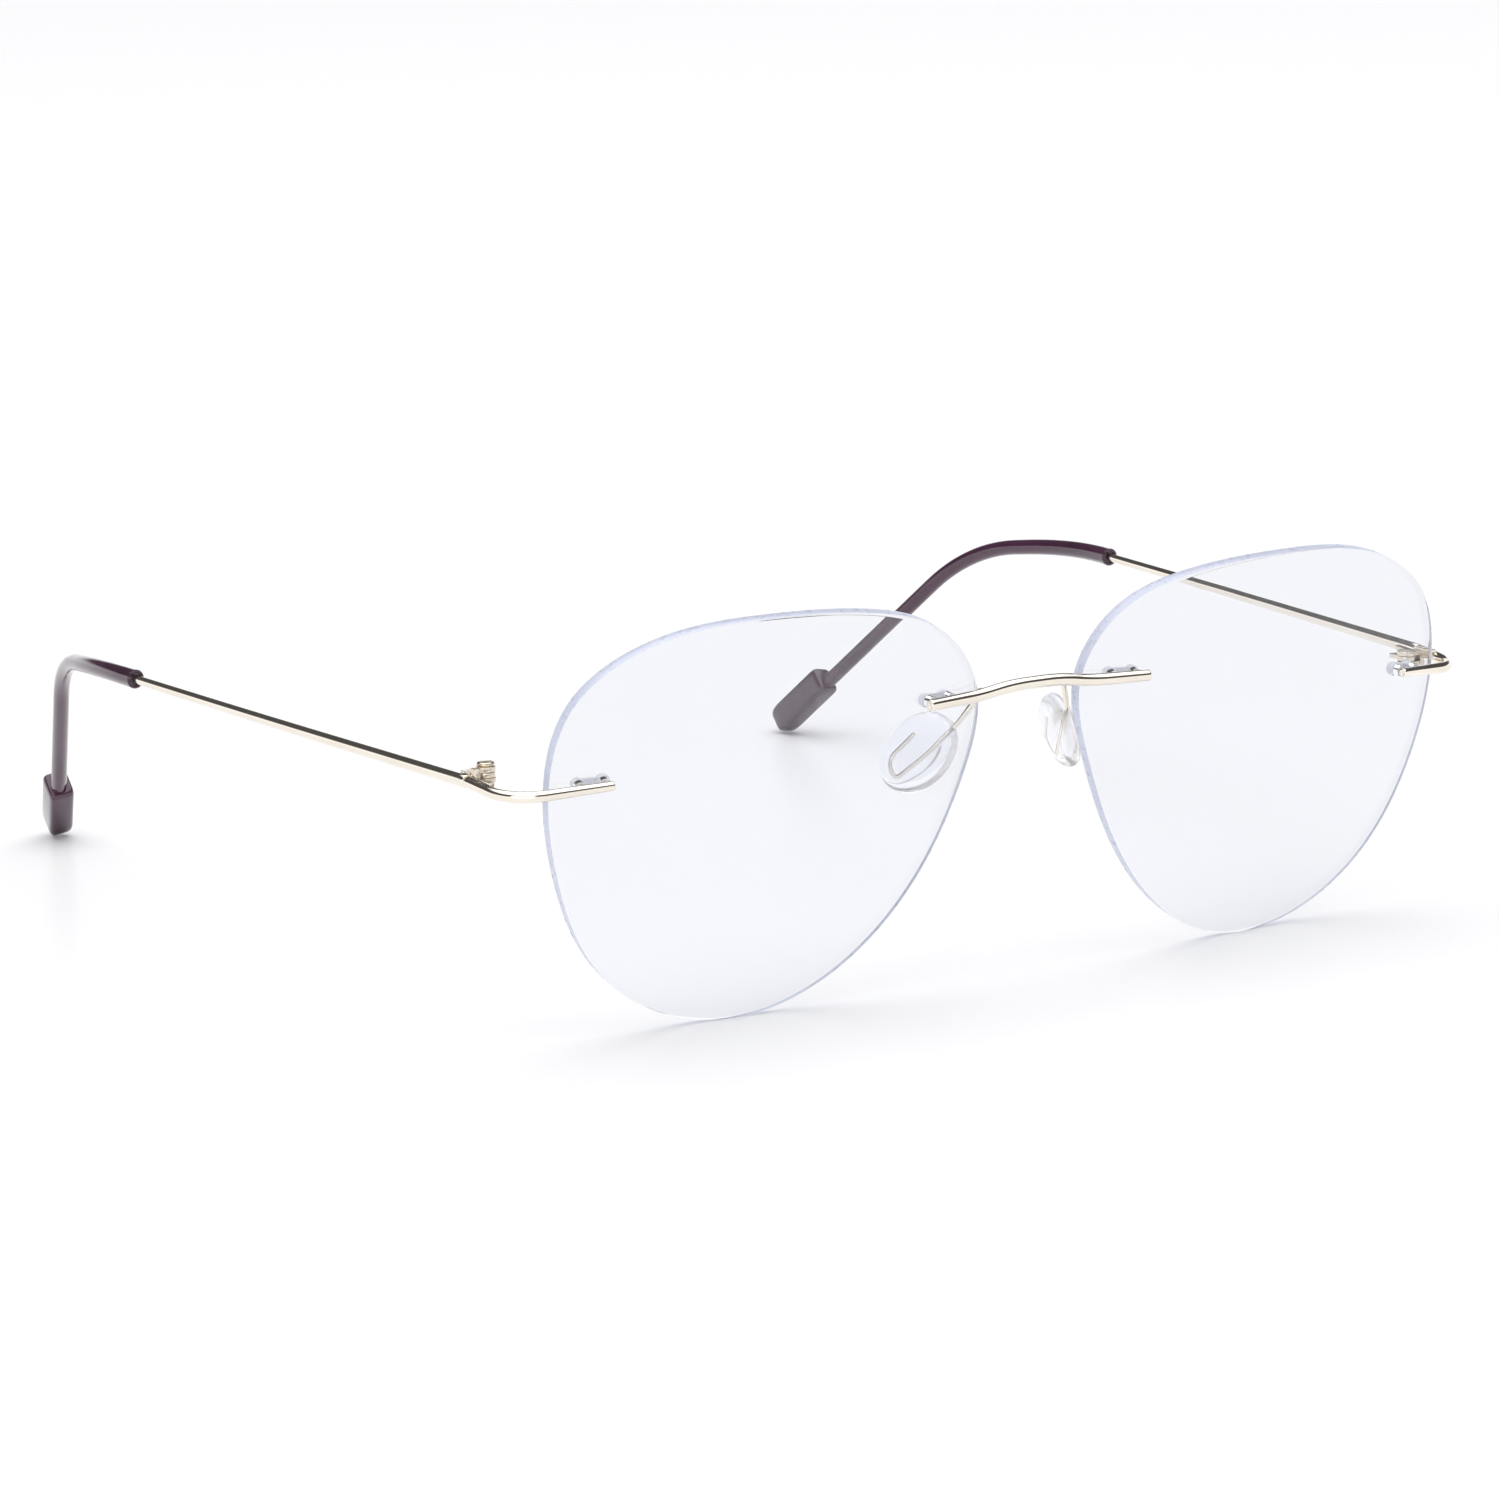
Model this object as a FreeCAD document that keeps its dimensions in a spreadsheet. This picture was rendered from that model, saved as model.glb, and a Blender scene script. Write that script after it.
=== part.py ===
import math
import os

import FreeCAD
import Part
import Sketcher
from FreeCAD import Placement, Rotation, Vector

# Rimless eyeglasses, in millimetres. X runs across the face, towards the wearer's left. Y runs from
# the lenses back to the ears. Z is up, from the table that the lens bottoms and the temple tips rest on.
# Pieces are first laid out about the lens centre line, and the whole object is then set on the table.

SIZES = {
    # Lenses: two clear pilot-shaped menisci of even thickness.
    "lens_width": 56.0,
    "lens_height": 49.7,
    "lens_gap": 15.0,
    "lens_thick": 1.5,
    "front_radius": 108.0,
    "blank_radius": 36.0,
    "blank_cleared": 43.0,
    "lens_tilt": 11.4,
    "lens_wrap": 3.3,
    # Drilled mounts: two holes behind each wire end, filled by a twin plastic plug.
    "hole_radius": 0.7,
    "hole_pitch": 2.9,
    "bridge_mount_in": 5.7,
    "bridge_mount_up": 12.3,
    "endpiece_mount_in": 5.0,
    "endpiece_mount_up": 6.7,
    "boss_clear": 0.02,
    "boss_short": 0.15,
    "seat_gap": 0.06,
    "plug_base": 0.5,
    "plug_head": 0.6,
    "plug_head_radius": 0.9,
    "plug_strip_radius": 0.72,
    "plug_round": 0.4,
    "prong_radius": 0.42,
    "prong_clear": 0.02,
    "prong_cover": 0.3,
    # Bridge wire.
    "bridge_radius": 0.75,
    "wire_standoff": 0.08,
    "bridge_overhang": 1.35,
    "bridge_run": 4.8,
    "bridge_rise": 0.75,
    "arch_half": 3.3,
    # End pieces.
    "endpiece_radius": 0.7,
    "endpiece_overhang": 0.85,
    "endpiece_slope": 6.5,
    "hinge_reach": 4.8,
    "hinge_setback": 13.8,
    "corner_offset": 0.4,
    "corner_tangent": 4.4,
    # Hinges: the front half has two knuckles, the temple half has the one between them.
    "barrel_from_wire": 1.1,
    "hinge_lead": 0.3,
    "braze_depth": 0.3,
    "hinge_lift": 0.7,
    "knuckle_radius": 1.15,
    "knuckle_tall": 0.6,
    "knuckle_clear": 0.05,
    "leaf_swing_clear": 0.15,
    "leaf_length": 3.2,
    "leaf_half_tall": 0.62,
    "link_inboard": 0.7,
    "link_outboard": 0.8,
    "link_overlap": 0.6,
    "tab_length": 2.2,
    "tab_rib_length": 3.4,
    "tab_rib_top": 0.45,
    "tab_rib_thick": 0.75,
    "joint_gap": 0.14,
    "screw_radius": 0.5,
    "screw_clear": 0.03,
    "thread_clear": 0.01,
    "screw_head_radius": 1.05,
    "screw_head_tall": 0.5,
    "screw_head_round": 0.4,
    "slot_width": 0.25,
    "slot_depth": 0.2,
    # Temples: a flattened wire that goes round under the sleeve.
    "temple_tall": 1.6,
    "temple_wide": 1.3,
    "temple_end_radius": 0.56,
    "temple_straight": 84.2,
    "temple_bow_share": 0.52,
    "temple_splay": 6.5,
    "temple_bow": 0.3,
    "bow_reach_share": 0.55,
    "temple_lift": 1.5,
    "bend_run": 19.8,
    "bend_in": 4.2,
    "bend_down": 2.4,
    "bend_share": 0.45,
    "sleeve_lead": 1.1,
    "drop_length": 25.0,
    "drop_angle": 41.4,
    "drop_turn_in": 21.7,
    "core_radius": 0.45,
    # Temple tips: a plastic sleeve with a squared knob at its end.
    "sleeve_front_radius": 1.2,
    "sleeve_radius": 1.05,
    "sleeve_clear": 0.03,
    "knob_wide": 3.4,
    "knob_deep": 4.1,
    "knob_long": 11.28,
    "knob_offset": 0.53,
    "knob_round": 0.9,
    "knob_turn": 15.0,
    # Nose pads and their wire arms.
    "pad_long": 12.0,
    "pad_wide": 9.0,
    "pad_thick": 2.7,
    "pad_round": 1.1,
    "pad_from_edge": 3.0,
    "pad_back": 9.1,
    "pad_below_wire": 7.8,
    "arm_radius": 0.38,
    "arm_root_share": 0.42,
    "arm_back": 3.2,
    "arm_sink": 0.3,
    "arm_entry": 1.2,
}

SIDES = {"right": -1, "left": 1}

doc = FreeCAD.newDocument("rimless_eyeglasses")
sheet = doc.addObject("Spreadsheet::Sheet", "Sizes")
for row, (name, value) in enumerate(SIZES.items(), start=1):
    sheet.set("A%d" % row, name)
    sheet.set("B%d" % row, str(value))
    sheet.setAlias("B%d" % row, name)
doc.recompute()

sub_parts = []


def size(name):
    return float(sheet.get(name))


def add(kind, name):
    return doc.addObject(kind, name)


def publish(item, label):
    """Name a finished sub-part: its label is its file's name."""
    item.Label = label
    sub_parts.append(item)
    return item


def plane(body, role):
    for feature in body.Origin.OriginFeatures:
        if feature.Role == role:
            return feature
    raise ValueError(role)


def new_sketch(body, name, role):
    sketch = body.newObject("Sketcher::SketchObject", name)
    sketch.AttachmentSupport = [(plane(body, role), "")]
    sketch.MapMode = "FlatFace"
    return sketch


def draw_circle(sketch, centre, radius, radius_expression, **centre_expressions):
    """Add a circle whose radius, and centre where given, follow the sheet."""
    index = sketch.addGeometry(Part.Circle(centre, Vector(0, 0, 1), radius), False)
    spot = sketch.addConstraint(Sketcher.Constraint("Radius", index, radius))
    sketch.setExpression("Constraints[%d]" % spot, radius_expression)
    for kind in ("DistanceX", "DistanceY"):
        start = centre.x if kind == "DistanceX" else centre.y
        spot = sketch.addConstraint(Sketcher.Constraint(kind, -1, 1, index, 3, start))
        if kind in centre_expressions:
            sketch.setExpression("Constraints[%d]" % spot, centre_expressions[kind])


def feature_pad(body, name, sketch, length, reverse=False):
    pad = body.newObject("PartDesign::Pad", name)
    pad.Profile = sketch
    pad.setExpression("Length", length)
    pad.Reversed = reverse
    return pad


def route(points, tangents):
    """A wire of straight runs joined by tangent arcs, one tangent length for each inner corner."""
    edges = []
    last = points[0]
    for index in range(1, len(points) - 1):
        corner = points[index]
        back = (points[index - 1] - corner).normalize()
        ahead = (points[index + 1] - corner).normalize()
        reach = tangents[index - 1]
        start = corner + back * reach
        finish = corner + ahead * reach
        half = math.acos(max(-1.0, min(1.0, back.dot(ahead)))) / 2
        radius = reach * math.tan(half)
        inward = (back + ahead).normalize()
        middle = corner + inward * (radius / math.sin(half) - radius)
        edges.append(Part.LineSegment(last, start).toShape())
        edges.append(Part.Arc(start, middle, finish).toShape())
        last = finish
    edges.append(Part.LineSegment(last, points[-1]).toShape())
    return Part.Wire(edges)


def path_object(name, wire):
    item = add("Part::Feature", name)
    item.Shape = wire
    return item


def facing(direction, up=Vector(0, 0, 1)):
    """The rotation whose Z axis lies along direction and whose Y axis is as near to up as it can be."""
    return Rotation(Vector(), up, direction, "ZYX")


def round_section(name, radius, point, direction):
    circle = add("Part::Circle", name)
    circle.setExpression("Radius", radius)
    circle.Placement = Placement(point, facing(direction))
    return circle


def pipe(name, wire, sections):
    """Sweep the sections along a wire of runs and arcs."""
    sweep = add("Part::Sweep", name)
    sweep.Sections = sections
    sweep.Spine = (path_object(name + "_path", wire), ["Edge%d" % n for n in range(1, len(wire.Edges) + 1)])
    sweep.Solid = True
    sweep.Frenet = False
    return sweep


def cut(name, base, tool):
    item = add("Part::Cut", name)
    item.Base = base
    item.Tool = tool
    return item


def fuse(name, pieces):
    item = add("Part::MultiFuse", name)
    item.Shapes = pieces
    return item


def cylinder(name, radius, height, placement):
    item = add("Part::Cylinder", name)
    item.setExpression("Radius", radius)
    item.setExpression("Height", height)
    item.Placement = placement
    return item


# Lens frame. Its origin is the middle of the boxed lens, on the front surface, its Y axis is the line
# through the lens, and the surface curves back from there.

def lens_placement(side):
    tilt = Rotation(Vector(1, 0, 0), size("lens_tilt"))
    wrap = Rotation(Vector(0, 0, 1), side * size("lens_wrap"))
    centre_x = side * (size("lens_gap") + size("lens_width")) / 2
    return Placement(Vector(centre_x, 0, 0), tilt.multiply(wrap))


# The pilot shape, as shares of the half width and half height of the boxed lens, going round from
# the temple side over the top: a flat brow, a full nose-side shoulder and a drop below.
OUTLINE = [
    (1.00, 0.22), (0.92, 0.62), (0.62, 0.89), (0.03, 1.00), (-0.47, 0.96), (-0.80, 0.82),
    (-1.00, 0.48), (-0.95, 0.12), (-0.73, -0.42), (-0.42, -0.80), (-0.02, -0.995),
    (0.34, -0.955), (0.73, -0.66), (0.94, -0.18),
]


def lens_outline(side):
    half_width = size("lens_width") / 2
    half_height = size("lens_height") / 2
    points = [Vector(side * u * half_width, v * half_height, 0) for u, v in OUTLINE]
    curve = Part.BSplineCurve()
    curve.interpolate(Points=points, PeriodicFlag=True)
    return curve


def make_lens(label, side):
    """A round meniscus is edged to the pilot outline and drilled for its two mounts."""
    front = size("front_radius")
    thick = size("lens_thick")
    rim = size("blank_radius")
    body = add("PartDesign::Body", "edged_lens_" + label)
    profile = new_sketch(body, "meniscus_" + label, "XY_Plane")
    sag_front = front - math.sqrt(front ** 2 - rim ** 2)
    back = front - thick
    sag_back = front - math.sqrt(back ** 2 - rim ** 2)
    top = math.pi * 1.5
    front_arc = Part.ArcOfCircle(Part.Circle(Vector(0, front, 0), Vector(0, 0, 1), front),
                                 top, top + math.asin(rim / front))
    back_arc = Part.ArcOfCircle(Part.Circle(Vector(0, front, 0), Vector(0, 0, 1), back),
                                top, top + math.asin(rim / back))
    profile.addGeometry(front_arc, False)
    profile.addGeometry(back_arc, False)
    profile.addGeometry(Part.LineSegment(Vector(0, 0, 0), Vector(0, thick, 0)), False)
    profile.addGeometry(Part.LineSegment(Vector(rim, sag_front, 0), Vector(rim, sag_back, 0)), False)
    for ends in ((0, 1, 2, 1), (1, 1, 2, 2), (0, 2, 3, 1), (1, 2, 3, 2), (0, 3, 1, 3)):
        profile.addConstraint(Sketcher.Constraint("Coincident", *ends))
    profile.addConstraint(Sketcher.Constraint("Coincident", 0, 1, -1, 1))
    profile.addConstraint(Sketcher.Constraint("PointOnObject", 0, 3, -2))
    profile.addConstraint(Sketcher.Constraint("Vertical", 2))
    profile.addConstraint(Sketcher.Constraint("Vertical", 3))
    spot = profile.addConstraint(Sketcher.Constraint("Radius", 0, front))
    profile.setExpression("Constraints[%d]" % spot, "Sizes.front_radius")
    spot = profile.addConstraint(Sketcher.Constraint("Distance", 2, thick))
    profile.setExpression("Constraints[%d]" % spot, "Sizes.lens_thick")
    spot = profile.addConstraint(Sketcher.Constraint("DistanceX", -1, 1, 3, 1, rim))
    profile.setExpression("Constraints[%d]" % spot, "Sizes.blank_radius")
    meniscus = body.newObject("PartDesign::Revolution", "blank_" + label)
    meniscus.Profile = profile
    meniscus.ReferenceAxis = (profile, ["V_Axis"])
    meniscus.Angle = 360
    doc.recompute()
    edging = new_sketch(body, "pilot_outline_" + label, "XZ_Plane")
    edging.addGeometry(lens_outline(side), False)
    draw_circle(edging, Vector(0, 0, 0), size("blank_cleared"), "Sizes.blank_cleared")
    edge = body.newObject("PartDesign::Pocket", "edge_" + label)
    edge.Profile = edging
    edge.Type = "ThroughAll"
    edge.Midplane = True
    body.Placement = lens_placement(side)
    drills = []
    for mount in ("bridge", "endpiece"):
        seat = mount_placement(mount, side)
        for number, along in enumerate((-1, 1), start=1):
            start = seat.multVec(Vector(along * size("hole_pitch") / 2, 0, -size("lens_thick")))
            drills.append(cylinder("%s_drill_%d_%s" % (mount, number, label), "Sizes.hole_radius",
                                   "Sizes.lens_thick * 3", Placement(start, seat.Rotation)))
    doc.recompute()
    publish(cut("lens_cut_" + label, body, fuse("drills_" + label, drills)), "lens_" + label)


def mount_placement(mount, side):
    """The frame of a drilled mount: origin on the front surface midway between the holes, Z back
    through the lens, X along the wire that lies there, away from the lens centre."""
    if mount == "bridge":
        outward = -side
        across = outward * (size("lens_width") / 2 - size("bridge_mount_in"))
        slope = 0.0
        up = size("bridge_mount_up")
    else:
        outward = side
        across = outward * (size("lens_width") / 2 - size("endpiece_mount_in"))
        slope = math.radians(size("endpiece_slope"))
        up = size("endpiece_mount_up")
    radius = size("front_radius")
    sag = radius - math.sqrt(radius ** 2 - across ** 2 - up ** 2)
    point = Vector(across, sag, up)
    through = (Vector(0, radius, 0) - point).normalize()
    along = Vector(outward * math.cos(slope), 0, -math.sin(slope))
    along = (along - through * along.dot(through)).normalize()
    local = Placement(point, Rotation(along, Vector(), through, "ZXY"))
    return lens_placement(side).multiply(local)


def wire_point(mount, side, along, radius_name):
    """A point on the centre line of the wire in front of a mount."""
    height = size(radius_name) + size("wire_standoff")
    return mount_placement(mount, side).multVec(Vector(along, 0, -height))


def make_prongs(label, mount, side, wire, radius_name):
    """Two pins brazed to the back of the wire, which the twin plug grips."""
    seat = mount_placement(mount, side)
    height = size(radius_name) + size("wire_standoff")
    pins = []
    for number, along in enumerate((-1, 1), start=1):
        start = seat.multVec(Vector(along * size("hole_pitch") / 2, 0, -height))
        length = ("Sizes.%s + Sizes.wire_standoff + Sizes.lens_thick + Sizes.seat_gap + Sizes.plug_base"
                  " + Sizes.plug_head - Sizes.prong_cover" % radius_name)
        pins.append(cylinder("%s_pin_%d_%s" % (mount, number, label), "Sizes.prong_radius", length,
                             Placement(start, seat.Rotation)))
    doc.recompute()
    publish(cut("%s_prong_cut_%s" % (mount, label), fuse("%s_pins_%s" % (mount, label), pins), wire),
            "%s_prongs_%s" % (mount, label))


def make_plug(label, mount, side):
    """A clear twin plug: a base strip behind the lens, two round heads, and two bosses in the holes."""
    pitch = size("hole_pitch")
    head = size("plug_head_radius")
    strip_radius = size("plug_strip_radius")
    name = "%s_plug_%s" % (mount, label)
    body = add("PartDesign::Body", name)
    strip = new_sketch(body, name + "_strip", "XY_Plane")
    turn = math.pi / 2
    right_end = Part.Circle(Vector(pitch / 2, 0, 0), Vector(0, 0, 1), strip_radius)
    left_end = Part.Circle(Vector(-pitch / 2, 0, 0), Vector(0, 0, 1), strip_radius)
    strip.addGeometry(Part.ArcOfCircle(right_end, -turn, turn), False)
    strip.addGeometry(Part.LineSegment(Vector(pitch / 2, strip_radius, 0),
                                       Vector(-pitch / 2, strip_radius, 0)), False)
    strip.addGeometry(Part.ArcOfCircle(left_end, turn, 3 * turn), False)
    strip.addGeometry(Part.LineSegment(Vector(-pitch / 2, -strip_radius, 0),
                                       Vector(pitch / 2, -strip_radius, 0)), False)
    for ends in ((0, 2, 1, 1), (1, 2, 2, 1), (2, 2, 3, 1), (3, 2, 0, 1)):
        strip.addConstraint(Sketcher.Constraint("Tangent", *ends))
    spot = strip.addConstraint(Sketcher.Constraint("Radius", 0, strip_radius))
    strip.setExpression("Constraints[%d]" % spot, "Sizes.plug_strip_radius")
    for index, share in ((0, 0.5), (2, -0.5)):
        spot = strip.addConstraint(Sketcher.Constraint("DistanceX", -1, 1, index, 3, share * pitch))
        strip.setExpression("Constraints[%d]" % spot, "Sizes.hole_pitch * %s" % share)
    strip.addConstraint(Sketcher.Constraint("PointOnObject", 0, 3, -1))
    feature_pad(body, name + "_base", strip, "Sizes.plug_base")
    heads = new_sketch(body, name + "_heads", "XY_Plane")
    bosses = new_sketch(body, name + "_bosses", "XY_Plane")
    bores = new_sketch(body, name + "_bores", "XY_Plane")
    for share in (-0.5, 0.5):
        centre = Vector(share * pitch, 0, 0)
        place = {"DistanceX": "Sizes.hole_pitch * %s" % share}
        draw_circle(heads, centre, head, "Sizes.plug_head_radius", **place)
        draw_circle(bosses, centre, size("hole_radius") - size("boss_clear"),
                    "Sizes.hole_radius - Sizes.boss_clear", **place)
        draw_circle(bores, centre, size("prong_radius") + size("prong_clear"),
                    "Sizes.prong_radius + Sizes.prong_clear", **place)
    top = feature_pad(body, name + "_domes", heads, "Sizes.plug_base + Sizes.plug_head")
    doc.recompute()
    rounding = body.newObject("PartDesign::Fillet", name + "_rounding")
    tall = size("plug_base") + size("plug_head")
    rims = [n for n, edge in enumerate(top.Shape.Edges, start=1)
            if min(v.Z for v in edge.Vertexes) > tall - 0.01]
    rounding.Base = (top, ["Edge%d" % n for n in rims])
    rounding.setExpression("Radius", "Sizes.plug_round")
    feature_pad(body, name + "_stems", bosses,
                "Sizes.lens_thick + Sizes.seat_gap - Sizes.boss_short", reverse=True)
    bore = body.newObject("PartDesign::Pocket", name + "_bore")
    bore.Profile = bores
    bore.Type = "Length"
    bore.Midplane = False
    bore.Reversed = True
    bore.setExpression("Length", "Sizes.plug_base + Sizes.plug_head"
                       " - Sizes.prong_cover + Sizes.prong_clear")
    doc.recompute()
    through = body.newObject("PartDesign::Pocket", name + "_bore_front")
    through.Profile = bores
    through.Type = "ThroughAll"
    through.Reversed = False
    seat = mount_placement(mount, side)
    offset = Placement(Vector(0, 0, size("lens_thick") + size("seat_gap")), Rotation())
    body.Placement = seat.multiply(offset)
    publish(body, name)


def bridge_points():
    """The bridge's corners from the wearer's right to left: it lies on each lens and arches between."""
    tip = -(size("hole_pitch") / 2 + size("bridge_overhang"))
    half = []
    for side in (-1, 1):
        ends = [wire_point("bridge", side, along, "bridge_radius") for along in (tip, size("bridge_run"))]
        arch = Vector(side * size("arch_half"), ends[1].y, ends[1].z + size("bridge_rise"))
        half.append(ends + [arch])
    return half[0] + half[1][::-1]


def make_bridge():
    points = bridge_points()
    reach = min((points[2] - points[1]).Length, points[3].x - points[2].x) * 0.45
    wire = route(points, [reach] * 4)
    start = round_section("bridge_section", "Sizes.bridge_radius", points[0], points[1] - points[0])
    return publish(pipe("bridge_pipe", wire, [start]), "bridge_wire")


def hinge_point(side):
    """Where the wire's centre line crosses the plane in which end piece and temple meet."""
    mount = wire_point("endpiece", side, 0, "endpiece_radius")
    edge = size("lens_gap") / 2 + size("lens_width")
    return Vector(side * (edge + size("hinge_reach")), size("hinge_setback"), mount.z)


def make_endpiece(label, side):
    beyond = size("hole_pitch") / 2 + size("endpiece_overhang")
    tip = wire_point("endpiece", side, -beyond, "endpiece_radius")
    middle = wire_point("endpiece", side, 0, "endpiece_radius")
    finish = hinge_point(side) - Vector(0, size("joint_gap") / 2, 0)
    along = (middle - tip).normalize()
    reach = (finish.x - side * size("corner_offset") - middle.x) / along.x
    corner = middle + along * reach
    wire = route([tip, corner, finish], [size("corner_tangent")])
    start = round_section("endpiece_section_" + label, "Sizes.endpiece_radius", tip, corner - tip)
    return publish(pipe("endpiece_pipe_" + label, wire, [start]), "endpiece_" + label)


def hinge_inset():
    """From the wire's centre line in to the screw's axis."""
    return size("knuckle_radius") + size("barrel_from_wire")


# Hinge frame. Its origin is the screw's axis at mid barrel, with Z towards the screw's head. Both
# sides use one hinge, drawn for the wearer's right, where outboard is -X. The left one is the same
# hinge turned over about Y, so its screw head points down.

def hinge_placement(side):
    joint = hinge_point(side)
    origin = joint + Vector(-side * hinge_inset(), -size("hinge_lead"), -side * size("hinge_lift"))
    turn = Rotation() if side < 0 else Rotation(Vector(0, 1, 0), 180)
    return Placement(origin, turn)


def hinge_box(name, side, low, high):
    """A box between two corners given in the hinge frame."""
    item = add("Part::Box", name)
    item.Length = high.x - low.x
    item.Width = high.y - low.y
    item.Height = high.z - low.z
    item.Placement = hinge_placement(side).multiply(Placement(low, Rotation()))
    return item


def hinge_cylinder(name, side, radius, low, high):
    place = hinge_placement(side).multiply(Placement(Vector(0, 0, low), Rotation()))
    item = cylinder(name, radius, "%.6f" % (high - low), place)
    return item


def make_hinge(label, side, endpiece, temple):
    radius = size("knuckle_radius")
    tall = size("knuckle_tall")
    clear = size("knuckle_clear")
    middle_half = tall / 2
    outer_low = middle_half + clear
    outer_high = outer_low + tall
    braze_x = -hinge_inset() + size("braze_depth")
    gap_y = size("hinge_lead")
    half_gap = size("joint_gap") / 2
    leaf_back = -radius - size("leaf_swing_clear")
    leaf_front = leaf_back - size("leaf_length")
    levels = ((-outer_high, -outer_low), (outer_low, outer_high))
    wire_level = -size("hinge_lift")
    front = []
    for number, (low, high) in enumerate(levels, start=1):
        ending = "_%d_%s" % (number, label)
        front.append(hinge_cylinder("front_knuckle" + ending, side, "Sizes.knuckle_radius", low, high))
        front.append(hinge_box("front_web" + ending, side, Vector(braze_x, -radius, low),
                               Vector(0, gap_y - half_gap, high)))
    front.append(hinge_box("front_post_" + label, side, Vector(braze_x, -radius, -outer_high),
                           Vector(leaf_back, gap_y - half_gap, outer_high)))
    front.append(hinge_box("front_leaf_" + label, side,
                           Vector(braze_x, leaf_front, wire_level - size("leaf_half_tall")),
                           Vector(leaf_back, gap_y - half_gap, wire_level + size("leaf_half_tall"))))
    thread = hinge_cylinder("thread_" + label, side, "Sizes.screw_radius + Sizes.thread_clear",
                            -outer_high - tall, 0)
    shank_hole = hinge_cylinder("shank_hole_" + label, side, "Sizes.screw_radius + Sizes.screw_clear",
                                0, outer_high + tall)
    blank = fuse("front_hinge_blank_" + label, front)
    tool = fuse("front_hinge_tool_" + label, [endpiece, thread, shank_hole])
    publish(cut("front_hinge_cut_" + label, blank, tool), "front_hinge_" + label)

    back = [hinge_cylinder("temple_knuckle_" + label, side, "Sizes.knuckle_radius - Sizes.knuckle_clear",
                           -middle_half, middle_half)]
    back.append(hinge_box("temple_link_" + label, side,
                          Vector(-size("link_outboard"), 0, -middle_half),
                          Vector(size("link_inboard"), gap_y + size("link_overlap"), middle_half)))
    back.append(hinge_box("temple_tab_" + label, side,
                          Vector(braze_x, gap_y + half_gap, -middle_half),
                          Vector(size("link_inboard"), gap_y + size("tab_length"), middle_half)))
    back.append(hinge_box("temple_rib_" + label, side,
                          Vector(braze_x, gap_y + half_gap, wire_level),
                          Vector(braze_x + size("tab_rib_thick"), gap_y + size("tab_rib_length"),
                                 size("tab_rib_top"))))
    bore = hinge_cylinder("bore_" + label, side, "Sizes.screw_radius + Sizes.screw_clear", -tall, tall)
    blank = fuse("temple_hinge_blank_" + label, back)
    tool = fuse("temple_hinge_tool_" + label, [temple, bore])
    publish(cut("temple_hinge_cut_" + label, blank, tool), "temple_hinge_" + label)
    make_screw(label, side, outer_high)


def make_screw(label, side, barrel_half):
    """A turned screw: shank and rounded head in one revolution, then a slot across the head."""
    name = "hinge_screw_" + label
    body = add("PartDesign::Body", name)
    profile = new_sketch(body, name + "_profile", "XZ_Plane")
    shank = size("screw_radius")
    head = size("screw_head_radius")
    seat = barrel_half + size("thread_clear")
    crown = seat + size("screw_head_tall")
    rounding = size("screw_head_round")
    corners = [Vector(0, crown, 0), Vector(0, -barrel_half, 0), Vector(shank, -barrel_half, 0),
               Vector(shank, seat, 0), Vector(head, seat, 0), Vector(head, crown - rounding, 0)]
    for start, finish in zip(corners, corners[1:]):
        profile.addGeometry(Part.LineSegment(start, finish), False)
    shoulder = Vector(head - rounding, crown, 0)
    eighth = math.radians(45)
    bulge = Vector(head - rounding + rounding * math.cos(eighth),
                   crown - rounding + rounding * math.sin(eighth), 0)
    profile.addGeometry(Part.Arc(corners[-1], bulge, shoulder), False)
    profile.addGeometry(Part.LineSegment(shoulder, corners[0]), False)
    turning = body.newObject("PartDesign::Revolution", name + "_turned")
    turning.Profile = profile
    turning.ReferenceAxis = (profile, ["V_Axis"])
    turning.Angle = 360
    doc.recompute()
    across = new_sketch(body, name + "_slot", "XY_Plane")
    across.AttachmentOffset = Placement(Vector(0, 0, crown), Rotation())
    half = size("slot_width") / 2
    reach = head + rounding
    ring = [Vector(-reach, -half, 0), Vector(reach, -half, 0),
            Vector(reach, half, 0), Vector(-reach, half, 0)]
    for start, finish in zip(ring, ring[1:] + ring[:1]):
        across.addGeometry(Part.LineSegment(start, finish), False)
    slot = body.newObject("PartDesign::Pocket", name + "_slot_cut")
    slot.Profile = across
    slot.setExpression("Length", "Sizes.slot_depth")
    body.Placement = hinge_placement(side)
    publish(body, name)


def temple_route(side):
    """Corner points of one temple: the hinge, a slight bow, the bend and the drop behind the ear."""
    start = hinge_point(side)

    def out(x, y, z):
        return Vector(side * x, y, z)

    share = size("temple_bow_share")
    bow = start + out(size("temple_splay") * share + size("temple_bow"), size("temple_straight") * share,
                      size("temple_lift") * share)
    bend = start + out(size("temple_splay"), size("temple_straight"), size("temple_lift"))
    knee = bend + out(-size("bend_in"), math.sqrt(size("bend_run") ** 2 - size("bend_in") ** 2
                                                  - size("bend_down") ** 2), -size("bend_down"))
    down = math.radians(size("drop_angle"))
    inward = math.radians(size("drop_turn_in"))
    drop = out(-math.cos(down) * math.sin(inward), math.cos(down) * math.cos(inward), -math.sin(down))
    reach = size("bend_share") * size("bend_run")
    sleeve = bend + (bow - bend).normalize() * (reach + size("sleeve_lead"))
    return start, bow, sleeve, bend, knee, drop, reach


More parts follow.
